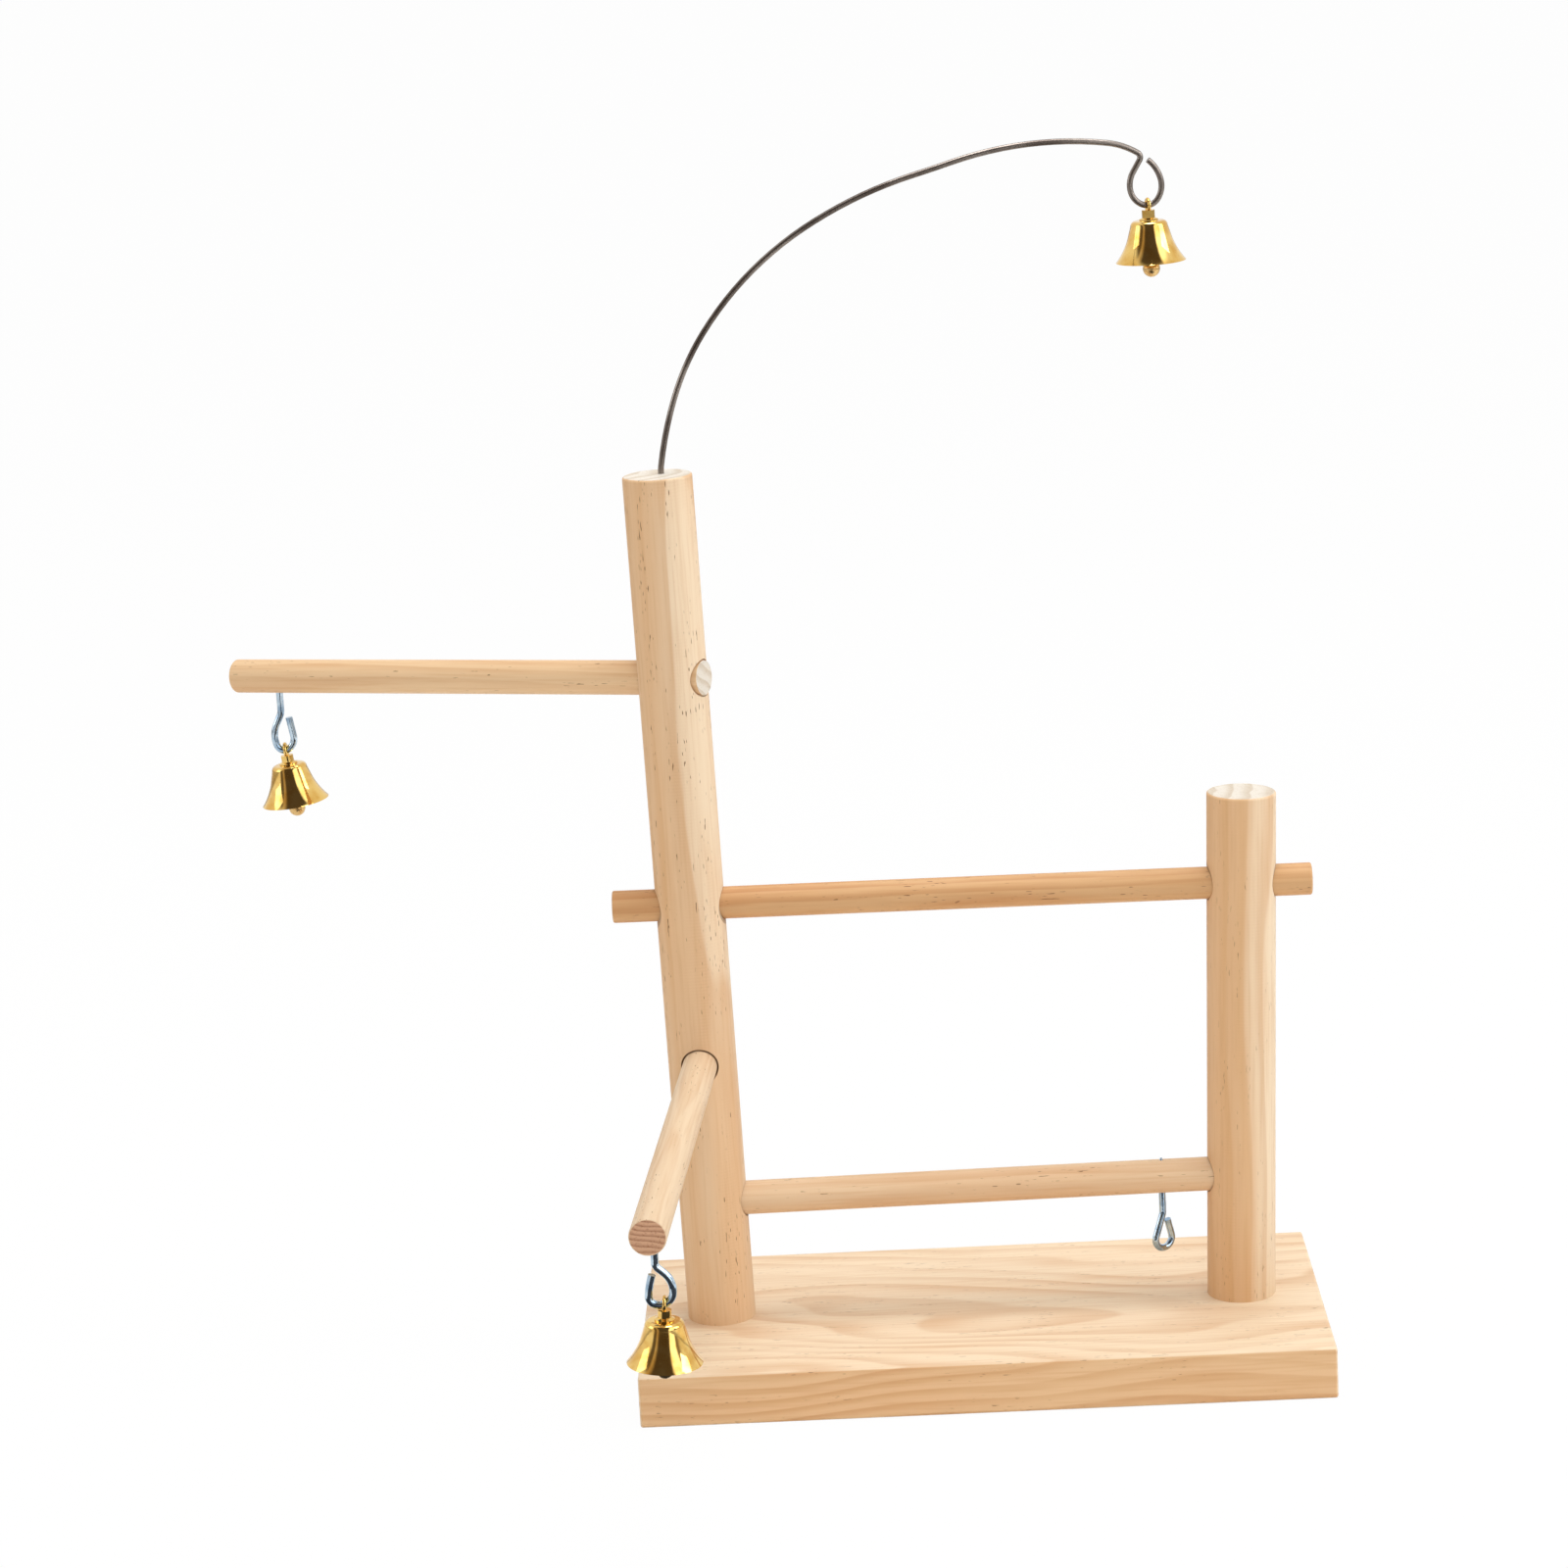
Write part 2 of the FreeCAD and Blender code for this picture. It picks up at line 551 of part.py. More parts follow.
def bell_nodes(name, place, carrier_wire):
    return {
        name + "_bell_shell": placed(bell_shell(), place),
        name + "_bell_hanger": placed(bell_hanger(carrier_wire), place),
        name + "_clapper_wire": placed(clapper_wire(), place),
        name + "_clapper_ball": placed(clapper_ball(), place),
    }


def all_nodes():
    nodes = {
        "base_board": base_board(),
        "tall_post": tall_post(),
        "short_post": short_post(),
        "tall_post_screw": post_screw(TALL_FOOT),
        "short_post_screw": post_screw(SHORT_FOOT),
        "upper_crossbar": upper_crossbar(),
        "lower_crossbar": lower_crossbar(),
        "left_perch": perch(
            LEFT_PERCH_ROOT, LEFT_PERCH_DIRECTION, LEFT_PERCH_REACH, LEFT_EYE_TOP, LEFT_EYE_EMBED),
        "front_perch": perch(
            FRONT_PERCH_ROOT, FRONT_PERCH_DIRECTION, FRONT_PERCH_REACH, FRONT_EYE_TOP, FRONT_EYE_EMBED),
        "left_screw_eye": screw_eye(LEFT_EYE_STEPS),
        "front_screw_eye": screw_eye(FRONT_EYE_STEPS),
        "lower_screw_eye": screw_eye(LOWER_EYE_STEPS),
        "wire_arm": wire_arm(),
    }
    for name, place, carrier_wire in BELLS:
        nodes.update(bell_nodes(name, place, carrier_wire))
    return nodes


os.makedirs("parts", exist_ok=True)
for node, shape in all_nodes().items():
    shape.exportStep(os.path.join("parts", node + ".step"))
    box = shape.BoundBox
    print("%-20s solids %d valid %s volume %9.1f  x %.1f..%.1f  y %.1f..%.1f  z %.1f..%.1f" % (
        node, len(shape.Solids), shape.isValid(), shape.Volume,
        box.XMin, box.XMax, box.YMin, box.YMax, box.ZMin, box.ZMax))
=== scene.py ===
# %% [markdown]
# # A pine play stand for parrots
# The real object is a small wooden stand: a pine board, two round posts, four dowels, three
# screw eyes, an arched wire and three brass bells. Its solid pieces arrive ready made as a packed
# model, so this lesson gives them their finish, makes the bells again as smooth turned metal, and
# sets up the studio. Everything is in metres, with +Z up and the board's underside at zero.

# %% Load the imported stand
import json
import math

import bmesh
import bpy
from mathutils import Matrix, Vector


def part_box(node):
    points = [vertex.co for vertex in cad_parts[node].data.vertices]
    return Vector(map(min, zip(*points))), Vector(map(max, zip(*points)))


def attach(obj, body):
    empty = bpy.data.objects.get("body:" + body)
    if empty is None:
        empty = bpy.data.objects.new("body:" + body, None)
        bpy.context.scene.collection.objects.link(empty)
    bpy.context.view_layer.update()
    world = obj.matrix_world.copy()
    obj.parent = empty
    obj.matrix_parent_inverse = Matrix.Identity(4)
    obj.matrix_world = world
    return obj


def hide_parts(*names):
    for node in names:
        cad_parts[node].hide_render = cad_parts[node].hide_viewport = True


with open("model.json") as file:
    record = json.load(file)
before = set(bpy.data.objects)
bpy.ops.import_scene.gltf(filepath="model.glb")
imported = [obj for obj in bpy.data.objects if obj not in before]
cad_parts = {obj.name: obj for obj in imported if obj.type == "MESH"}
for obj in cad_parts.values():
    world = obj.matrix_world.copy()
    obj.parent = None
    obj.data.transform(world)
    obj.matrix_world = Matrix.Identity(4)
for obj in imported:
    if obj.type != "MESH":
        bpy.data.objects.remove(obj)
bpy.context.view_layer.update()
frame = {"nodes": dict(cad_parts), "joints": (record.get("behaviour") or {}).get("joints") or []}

NODES = frame["nodes"]

# %% [markdown]
# ## Small helpers
# Colours are easiest to choose as sRGB hex, as a paint chart or a picture editor gives them, but
# shaders work in linear light. Each colour could be turned by hand, but then nobody could check
# it against a chart, so one function turns one into the other.

# %% Turn a hex colour to linear light
WHITE = "#FFFFFF"


def linear(code):
    """An sRGB hex colour as linear red, green, blue and alpha."""
    values = [int(code[i:i + 2], 16) / 255 for i in (1, 3, 5)]
    return tuple(v / 12.92 if v <= 0.04045 else ((v + 0.055) / 1.055) ** 2.4 for v in values) + (1.0,)


print("white is", linear(WHITE), "and mid grey is", linear("#808080")[0])

# %% [markdown]
# A material is a tree of nodes. Made in the editor they are boxes and wires, and in a script each
# takes several lines. One function for all kinds adds a node with its settings and links, so that
# each material below reads as a short list of steps.

# %% Add nodes
# settings that many nodes share
ADD = {"operation": "ADD"}
SUBTRACT = {"operation": "SUBTRACT"}
MULTIPLY = {"operation": "MULTIPLY"}
UNSIGNED = {"operation": "ABSOLUTE"}
LENGTH = {"operation": "LENGTH"}
DOT = {"operation": "DOT_PRODUCT"}
CROSS = {"operation": "CROSS_PRODUCT"}
SMOOTH = {"interpolation_type": "SMOOTHSTEP"}
PAINT = {"data_type": "RGBA"}
TINT = {"data_type": "RGBA", "blend_type": "MULTIPLY"}


def add(tree, kind, settings=None, **inputs):
    """Adds a node. A setting is an attribute. An input is a value, a socket to link from, or a
    node whose first output in use is linked; i0 and i1 are inputs by number."""
    node = tree.nodes.new(kind)
    for name, value in (settings or {}).items():
        setattr(node, name, value)
    for name, value in inputs.items():
        key = int(name[1:]) if name[0] == "i" and name[1:].isdigit() else name.replace("_", " ")
        if isinstance(value, bpy.types.Node):
            value = next(socket for socket in value.outputs if socket.enabled)
        if isinstance(value, bpy.types.NodeSocket):
            tree.links.new(value, node.inputs[key])
        else:
            node.inputs[key].default_value = value
    return node


def new_material(name):
    """An empty node material: its tree, and the shader that its steps lead to."""
    material = bpy.data.materials.new(name)
    material.use_nodes = True
    tree = material.node_tree
    tree.nodes.clear()
    shader = add(tree, "ShaderNodeBsdfPrincipled")
    add(tree, "ShaderNodeOutputMaterial", Surface=shader)
    return material, tree, shader


print("node helpers ready")

# %% [markdown]
# ## Camera
# The camera stands where the picture was taken from: about a metre and a half in front of the
# stand, a little above it, turned down by 13 degrees and rolled by 3, with a long lens. It could be
# aimed with a constraint, but a rotation built from those three turns says plainly what they are.

# %% Place the camera
CAMERA_PLACE = Vector((-0.024375, -1.529902, 0.586874))
CAMERA_YAW = -1.445
CAMERA_PITCH = 13.481
CAMERA_ROLL = -3.030
CAMERA_LENS = 100.24
CAMERA_SENSOR = 36.0
CAMERA_SEES = 100.0


def make_camera():
    level = Matrix.Rotation(math.radians(90 - CAMERA_PITCH), 4, "X")
    turned = Matrix.Rotation(math.radians(-CAMERA_YAW), 4, "Z") @ level
    rolled = turned @ Matrix.Rotation(math.radians(CAMERA_ROLL), 4, "Z")
    data = bpy.data.cameras.new("studio_camera")
    data.lens = CAMERA_LENS
    data.sensor_width = CAMERA_SENSOR
    data.sensor_fit = "HORIZONTAL"
    data.clip_end = CAMERA_SEES
    camera = bpy.data.objects.new("studio_camera", data)
    camera.matrix_world = Matrix.Translation(CAMERA_PLACE) @ rolled
    bpy.context.collection.objects.link(camera)
    bpy.context.scene.camera = camera
    return camera


camera = make_camera()
print("camera looks along", camera.matrix_world.to_3x3() @ Vector((0, 0, -1)))

# %% [markdown]
# ## Floor
# The stand is shown on white. A curved backdrop would do, but a very wide floor looks the same
# from every side. It keeps the stand's soft shadow, and a white glow of its own, seen by the
# camera alone, lifts it to the white of the picture without lighting the wood.

# %% Make the floor
FLOOR_SIZE = 60.0
FLOOR_GLOW = 0.97
PAPER_WHITE = "#F4F3F1"
MATT = 0.9


def flat_sheet(name, size, middle_at, material):
    """A flat sheet of the studio's, which is no part of the stand."""
    shape = bmesh.new()
    bmesh.ops.create_grid(shape, x_segments=1, y_segments=1, size=1.0)
    bmesh.ops.scale(shape, verts=shape.verts, vec=(size[0] / 2, size[1] / 2, 1.0))
    bmesh.ops.translate(shape, verts=shape.verts, vec=middle_at)
    mesh = bpy.data.meshes.new(name)
    shape.to_mesh(mesh)
    shape.free()
    mesh.materials.append(material)
    sheet = bpy.data.objects.new(name, mesh)
    bpy.context.collection.objects.link(sheet)
    return sheet


def white_paper():
    material, tree, shader = new_material("matt_white_paper")
    shader.inputs["Base Color"].default_value = linear(PAPER_WHITE)
    shader.inputs["Roughness"].default_value = MATT
    glow = add(tree, "ShaderNodeEmission", Color=linear(WHITE), Strength=1.0)
    seen = add(tree, "ShaderNodeLightPath").outputs["Is Camera Ray"]
    share = add(tree, "ShaderNodeMath", MULTIPLY, i0=seen, i1=FLOOR_GLOW)
    mix = add(tree, "ShaderNodeMixShader", Fac=share, i1=shader, i2=glow)
    tree.links.new(mix.outputs[0], tree.nodes["Material Output"].inputs["Surface"])
    return material


floor = flat_sheet("studio_floor", (FLOOR_SIZE, FLOOR_SIZE), (0.0, 0.0, 0.0), white_paper())
print("floor is", floor.dimensions.x, "m wide")

# %% [markdown]
# ## Dark card
# Bright zinc looks like metal only if it also mirrors something dark. Upright wire mirrors the
# floor in front of it, so a dark card lies there. The camera, the wood and the shadows don't see
# it: only mirrors do.

# %% Lay the dark card
CARD_HALF_WIDTH = 0.30
CARD_NEAR = -0.14
CARD_FAR = -1.40
CARD_HEIGHT = 0.001
CARD_TONE = "#2A2A2E"


def lay_card():
    material, tree, shader = new_material("dark_card")
    shader.inputs["Base Color"].default_value = linear(CARD_TONE)
    shader.inputs["Roughness"].default_value = MATT
    card = flat_sheet("studio_card", (2 * CARD_HALF_WIDTH, CARD_NEAR - CARD_FAR),
                      (0.0, (CARD_NEAR + CARD_FAR) / 2, CARD_HEIGHT), material)
    card.visible_camera = False
    card.visible_diffuse = False
    card.visible_shadow = False
    return card


card = lay_card()
print("card is", 2 * CARD_HALF_WIDTH, "m wide")

# %% [markdown]
# ## Room
# Brass mirrors the whole room, and a plain white one makes it look like yellow plastic. The real
# bells show bright panels with a broad dark stripe between them, as if the photographer stood
# there. Panels could be hung as objects, but a ramp of tones across the room's front half is
# simpler to adjust. Only mirrors see it: the camera sees white, and matt surfaces are lit by a
# plain soft light.

# %% Hang tones round the room
ROOM_STRENGTH = 0.50
MIRROR_STRENGTH = 2.2
ROOM_LIGHT = "#FFFDFA"
BEHIND_TONE = "#B4B4B4"
FRONT_ENDS = -0.35
BEHIND_STARTS = -0.05
FRONT_TONES = (
    # how far to the right on the camera's side, from -1 to 1, and the tone that hangs there
    (-1.00, BEHIND_TONE), (-0.88, BEHIND_TONE), (-0.80, "#4A443E"), (-0.68, "#4A443E"),
    (-0.60, "#94887A"), (-0.52, "#746A5E"), (-0.44, "#3A3430"), (0.38, "#3A3430"),
    (0.48, "#F8F8F8"), (0.76, "#F8F8F8"), (0.84, "#6A625C"), (0.90, "#6A625C"), (1.00, BEHIND_TONE))


def front_tones(tree, across):
    """White card with dark gaps, hung on the camera's side."""
    share = add(tree, "ShaderNodeMapRange", Value=across, From_Min=-1.0, From_Max=1.0)
    ramp = add(tree, "ShaderNodeValToRGB", Fac=share)
    stops = ramp.color_ramp.elements
    while len(stops) < len(FRONT_TONES):
        stops.new(0.5)
    # the stops sort themselves as they move, so the tones wait until all are in place
    for stop, (place, tone) in zip(stops, FRONT_TONES):
        stop.position = (place + 1) / 2
    for stop, (place, tone) in zip(stops, FRONT_TONES):
        stop.color = linear(tone)
    return ramp.outputs["Color"]


def make_room():
    world = bpy.data.worlds.new("studio_room")
    bpy.context.scene.world = world
    world.use_nodes = True
    tree = world.node_tree
    tree.nodes.clear()
    way = add(tree, "ShaderNodeTexCoord").outputs["Generated"]
    split = add(tree, "ShaderNodeSeparateXYZ", Vector=way)
    behind = add(tree, "ShaderNodeMapRange", SMOOTH, Value=split.outputs["Y"],
                 From_Min=FRONT_ENDS, From_Max=BEHIND_STARTS)
    tone = add(tree, "ShaderNodeMix", PAINT, Factor=behind, A=front_tones(tree, split.outputs["X"]),
               B=linear(BEHIND_TONE))
    plain = add(tree, "ShaderNodeBackground", Color=linear(ROOM_LIGHT), Strength=ROOM_STRENGTH)
    mirrored = add(tree, "ShaderNodeBackground", Color=tone, Strength=MIRROR_STRENGTH)
    white = add(tree, "ShaderNodeBackground", Color=linear(WHITE), Strength=1.0)
    path = add(tree, "ShaderNodeLightPath")
    shine = add(tree, "ShaderNodeMixShader", Fac=path.outputs["Is Glossy Ray"], i1=plain, i2=mirrored)
    mix = add(tree, "ShaderNodeMixShader", Fac=path.outputs["Is Camera Ray"], i1=shine, i2=white)
    add(tree, "ShaderNodeOutputWorld", Surface=mix)


make_room()
print("room strength", ROOM_STRENGTH, "and", MIRROR_STRENGTH, "in mirrors")

# %% [markdown]
# ## Lamps
# Product pictures are lit by large soft boxes, so that shadows are faint. Area lamps are the same
# thing. The one overhead is the strongest, the right one is stronger than the left, which rounds
# the posts, and the front one stays out of mirrors, because it would fill the bells' dark stripe.

# %% Hang the lamps
LAMPS = (
    # name, place, size, watts, and whether mirrors see it
    ("front_box", (0.30, -1.8, 0.9), 0.8, 5.6, False),
    ("left_box", (-1.7, -0.3, 0.9), 0.9, 4.0, True),
    ("right_box", (1.45, -0.35, 1.0), 0.8, 8.4, True),
    ("top_box", (0.15, 0.1, 1.9), 0.9, 19.0, True),
)
LAMPS_AIM_AT = Vector((-0.05, -0.02, 0.2))


def hang_lamp(name, place, size, watts, mirrored):
    data = bpy.data.lights.new(name, "AREA")
    data.energy = watts
    data.size = size
    lamp = bpy.data.objects.new(name, data)
    way = LAMPS_AIM_AT - Vector(place)
    lamp.matrix_world = Matrix.Translation(place) @ way.to_track_quat("-Z", "Y").to_matrix().to_4x4()
    lamp.visible_glossy = mirrored
    bpy.context.collection.objects.link(lamp)


for lamp in LAMPS:
    hang_lamp(*lamp)
print(len(LAMPS), "soft boxes hung")

# %% [markdown]
# ## Pine
# Every wooden piece is sanded, unfinished pine. Pine grows a pale band in spring and a darker,
# harder one in summer, so a plank is a stack of nested cones that the saw cuts through: straight
# lines where it cuts along the rings, and flame shapes where it skims them. A picture of wood
# would not turn the corner from side to end. A solid pattern does: the distance from a far-off
# pith, wobbled slowly along the grain and repeated every few millimetres, colours the whole piece
# as if it had been cut from a trunk. Each piece has its own pith, so that no two are alike.

# %% Give a piece its own grain
DRIFT_DETAIL = 2.0
DRIFT_ROUGHNESS = 0.45
HALF_WAY = (0.5, 0.5, 0.5)


def grain_space(tree, start, along, pith, wobble, bends):
    """Metres measured with X along the grain and the pith on X, gently bent as a tree grows.
    bends is how many bends a metre holds, along the grain and on each side of it."""
    turn = Vector((1, 0, 0)).rotation_difference(Vector(along).normalized()).to_euler()
    seat = Vector(start) + turn.to_matrix() @ Vector((0, pith[0], pith[1]))
    where = add(tree, "ShaderNodeTexCoord").outputs["Object"]
    straight = add(tree, "ShaderNodeMapping", {"vector_type": "TEXTURE"}, Vector=where,
                   Location=seat, Rotation=turn)
    slow = add(tree, "ShaderNodeMapping", Vector=straight, Scale=bends)
    drift = add(tree, "ShaderNodeTexNoise", Vector=slow, Scale=1.0, Detail=DRIFT_DETAIL,
                Roughness=DRIFT_ROUGHNESS)
    centred = add(tree, "ShaderNodeVectorMath", SUBTRACT, i0=drift.outputs["Color"], i1=HALF_WAY)
    shift = add(tree, "ShaderNodeVectorMath", MULTIPLY, i0=centred, i1=(0.0, wobble, wobble))
    return straight, add(tree, "ShaderNodeVectorMath", ADD, i0=straight, i1=shift)


def stretched_noise(tree, space, length, width, detail):
    """Noise whose features are about length along the grain and width across it, in metres."""
    scaled = add(tree, "ShaderNodeMapping", Vector=space, Scale=(1 / length, 1 / width, 1 / width))
    return add(tree, "ShaderNodeTexNoise", Vector=scaled, Scale=1.0, Detail=detail).outputs["Fac"]


print("grain helpers ready")

# %% [markdown]
# ## Rings, heart and flecks
# Three things colour pine along its length. A ring darkens slowly through summer and stops at
# once when winter comes, so it has one soft and one sharp edge. The heartwood near the pith is
# warmer. Short dark flecks of resin lie along the fibres, in crowds. Each is a share from 0 to 1
# that a later step mixes with, and each is measured in metres of real wood.

# %% Work out the rings, the heart and the flecks
WAVE_REPEAT = 2 * math.pi / 20  # a Wave texture of scale 1 repeats this often
SUMMER_BUILDS = (0.25, 0.85)
SUMMER_STOPS = (0.88, 1.0)
HEART_BLUR = 0.004
SPECK = (0.0040, 0.00052, 1.0)  # length, width and detail
CROWD = (0.045, 0.006, 1.0)
CROWD_RANGE = (0.30, 0.68)
SPECK_LIMITS = (0.80, 0.655)  # how strong a speck must be to show, alone and in a crowd
SPECK_BLUR = 0.08


def summer_share(tree, bent, ring):
    wave = add(tree, "ShaderNodeTexWave",
               {"wave_type": "RINGS", "rings_direction": "X", "wave_profile": "SAW"},
               Vector=bent, Scale=WAVE_REPEAT / ring, Distortion=0.0).outputs["Fac"]
    builds = add(tree, "ShaderNodeMapRange", SMOOTH, Value=wave,
                 From_Min=SUMMER_BUILDS[0], From_Max=SUMMER_BUILDS[1])
    stops = add(tree, "ShaderNodeMapRange", SMOOTH, Value=wave,
                From_Min=SUMMER_STOPS[0], From_Max=SUMMER_STOPS[1], To_Min=1.0, To_Max=0.0)
    return add(tree, "ShaderNodeMath", MULTIPLY, i0=builds, i1=stops)


def heart_share(tree, bent, radius, share):
    flat = add(tree, "ShaderNodeVectorMath", MULTIPLY, i0=bent, i1=(0.0, 1.0, 1.0))
    reach = add(tree, "ShaderNodeVectorMath", LENGTH, i0=flat)
    return add(tree, "ShaderNodeMapRange", SMOOTH, Value=reach, From_Min=radius - HEART_BLUR,
               From_Max=radius + HEART_BLUR, To_Min=share, To_Max=0.0)


def fleck_share(tree, straight, share):
    speck = stretched_noise(tree, straight, *SPECK)
    crowd = stretched_noise(tree, straight, *CROWD)
    limit = add(tree, "ShaderNodeMapRange", SMOOTH, Value=crowd, From_Min=CROWD_RANGE[0],
                From_Max=CROWD_RANGE[1], To_Min=SPECK_LIMITS[0], To_Max=SPECK_LIMITS[1])
    over = add(tree, "ShaderNodeMath", SUBTRACT, i0=speck, i1=limit)
    shown = add(tree, "ShaderNodeMapRange", SMOOTH, Value=over, From_Min=0.0, From_Max=SPECK_BLUR)
    return add(tree, "ShaderNodeMath", MULTIPLY, i0=shown, i1=share)


print("a fleck is about", SPECK[0] * 1000, "mm long")

# %% [markdown]
# ## Painted shade in the mouths of the drilled holes
# A dowel sits in a drilled hole whose edge is broken, and that thin ring is painted darker: painted
# shade, for the shadow in the gap round the dowel. A ring of colour could be painted on, but the hole's
# own line is known, so the shade is worked out from the distance to the dowel's axis, within the dowel's
# length.

# %% Paint shade into the mouth of a drilled hole
DOWELS = {
    # radius in metres and direction
    "front_perch": (0.00625, (-0.054, -0.998, 0.017)),
    "left_perch": (0.00625, (-0.908, 0.416, -0.042)),
    "upper_crossbar": (0.00585, (1, 0, 0.01)),
    "lower_crossbar": (0.0062, (1, 0, 0.01)),
}
MOUTH_WIDTH = 0.0006
MOUTH_BLUR = 0.0002
# colour of the painted shade in the mouths of the holes
HOLE_SHADE = "#6B4426"


def middle(node):
    low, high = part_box(node)
    return (Vector(low) + Vector(high)) / 2


def painted_hole_shade(tree, dowel, share):
    """How far a point lies inside the worn ring round a dowel, times share: where and how strongly the
    painted shade lies.
    """
    radius, way = DOWELS[dowel]
    way = Vector(way).normalized()
    low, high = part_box(dowel)
    half = abs((Vector(high) - Vector(low)).dot(way)) / 2
    edge = radius + MOUTH_WIDTH
    where = add(tree, "ShaderNodeTexCoord").outputs["Object"]
    away = add(tree, "ShaderNodeVectorMath", SUBTRACT, i0=where, i1=middle(dowel))
    across = add(tree, "ShaderNodeVectorMath", CROSS, i0=away, i1=way)
    reach = add(tree, "ShaderNodeVectorMath", LENGTH, i0=across)
    ring = add(tree, "ShaderNodeMapRange", SMOOTH, Value=reach, From_Min=edge - MOUTH_BLUR,
               From_Max=edge + MOUTH_BLUR, To_Min=share, To_Max=0.0)
    onward = add(tree, "ShaderNodeVectorMath", DOT, i0=away, i1=way)
    beside = add(tree, "ShaderNodeMapRange", SMOOTH,
                 Value=add(tree, "ShaderNodeMath", UNSIGNED, i0=onward),
                 From_Min=half, From_Max=half + MOUTH_WIDTH, To_Min=1.0, To_Max=0.0)
    return add(tree, "ShaderNodeMath", MULTIPLY, i0=ring, i1=beside)


print("hole mouths of", len(DOWELS), "dowels")

# %% [markdown]
# ## Colour of the long sides
# The mix starts from pale springwood and lays the rest over it: summer rings, which fade in and
# out over the piece, warm patches, the heart and fine fibres. Layers of plain colours are easier
# to match to a picture than one ramp with many stops, because each changes one thing.

# %% Colour the long sides
SPRINGWOOD = "#ECD6B8"
SUMMERWOOD = "#CC9E70"
WARM_PATCH = "#DDB082"
HEARTWOOD = "#DDAE7C"
FLECK = "#7E5632"
RINGS_FADE = (0.3, 0.65, 0.35)  # where the patches fade the rings out and in, and the least share
PATCHES_SHOW = (0.4, 0.72)
FIBRES_SHOW = (0.42, 0.75, 0.24)


def ringed_colour(tree, summer, patch, contrast, warmth):
    """Springwood with summer rings and warm patches."""
    start, full, least = RINGS_FADE
    fade = add(tree, "ShaderNodeMapRange", SMOOTH, Value=patch, From_Min=start, From_Max=full,
               To_Min=least, To_Max=1.0)
    line = add(tree, "ShaderNodeMath", MULTIPLY, i0=summer, i1=fade)
    strength = add(tree, "ShaderNodeMath", MULTIPLY, i0=line, i1=contrast)
    colour = add(tree, "ShaderNodeMix", PAINT, Factor=strength, A=linear(SPRINGWOOD),
                 B=linear(SUMMERWOOD))
    warm = add(tree, "ShaderNodeMapRange", SMOOTH, Value=patch, From_Min=PATCHES_SHOW[0],
               From_Max=PATCHES_SHOW[1])
    warm = add(tree, "ShaderNodeMath", MULTIPLY, i0=warm, i1=warmth)
    return add(tree, "ShaderNodeMix", PAINT, Factor=warm, A=colour, B=linear(WARM_PATCH))


def fibred_colour(tree, colour, fibre):
    start, full, share = FIBRES_SHOW
    streak = add(tree, "ShaderNodeMapRange", SMOOTH, Value=fibre, From_Min=start, From_Max=full,
                 To_Min=0.0, To_Max=share)
    return add(tree, "ShaderNodeMix", PAINT, Factor=streak, A=colour, B=linear(SUMMERWOOD))


print("springwood is", [round(c, 2) for c in linear(SPRINGWOOD)])

# %% [markdown]
# ## Cut ends, and painted shade on long edges
# A saw cut across the grain opens thousands of pores, so an end is greyer or browner than a side
# and shows the rings as arcs. The pattern already holds those arcs. What is needed is where a
# face looks along the grain, and the face's own direction tells that. A board's long edges are painted a
# deeper tone too: painted shade, as the faces that look front and back get less light than the top.

# %% Colour the ends and paint shade on the long edges
PALE_END = ("#E0D8CC", "#C6B59E")
CUT_END = ("#D9BE9C", "#BE9468")
BROWN_END = ("#CFA281", "#A06E50")
FACES_END = (0.80, 0.96)
# how squarely a face looks front or back before it takes the painted shade
FACES_SHADED_SIDE = (0.75, 0.95)
PORES_PER_METRE = 1500.0  # real pores are finer, and these are as coarse as they need to be to show
PORES_SHOW = (0.5, 0.75, 0.5)
END_RINGS = 0.7


def ended_colour(tree, colour, straight, along, summer, end):
    facing = add(tree, "ShaderNodeVectorMath", DOT, i0=add(tree, "ShaderNodeTexCoord").outputs["Normal"],
                 i1=Vector(along).normalized())
    cut = add(tree, "ShaderNodeMapRange", SMOOTH,
              Value=add(tree, "ShaderNodeMath", UNSIGNED, i0=facing),
              From_Min=FACES_END[0], From_Max=FACES_END[1])
    noise = add(tree, "ShaderNodeTexNoise", Vector=straight, Scale=PORES_PER_METRE, Detail=2.0)
    pores = add(tree, "ShaderNodeMapRange", SMOOTH, Value=noise.outputs["Fac"], From_Min=PORES_SHOW[0],
                From_Max=PORES_SHOW[1], To_Min=0.0, To_Max=PORES_SHOW[2])
    rings = add(tree, "ShaderNodeMath", MULTIPLY, i0=summer, i1=END_RINGS)
    dark = add(tree, "ShaderNodeMath", ADD, i0=rings, i1=pores)
    end_colour = add(tree, "ShaderNodeMix", PAINT, Factor=dark, A=linear(end[0]), B=linear(end[1]))
    return add(tree, "ShaderNodeMix", PAINT, Factor=cut, A=colour, B=end_colour)


def side_shaded_colour(tree, colour, edge):
    normal = add(tree, "ShaderNodeTexCoord").outputs["Normal"]
    sideways = add(tree, "ShaderNodeSeparateXYZ", Vector=normal).outputs["Y"]
    # painted shade: faces that look front or back are tinted darker, for the lesser light they get
    painted_side_shade = add(tree, "ShaderNodeMapRange", SMOOTH,
                  Value=add(tree, "ShaderNodeMath", UNSIGNED, i0=sideways),
                  From_Min=FACES_SHADED_SIDE[0], From_Max=FACES_SHADED_SIDE[1])
    return add(tree, "ShaderNodeMix", TINT, Factor=painted_side_shade, A=colour, B=linear(edge))


print("a pore is about", round(1000 / PORES_PER_METRE, 2), "mm wide")

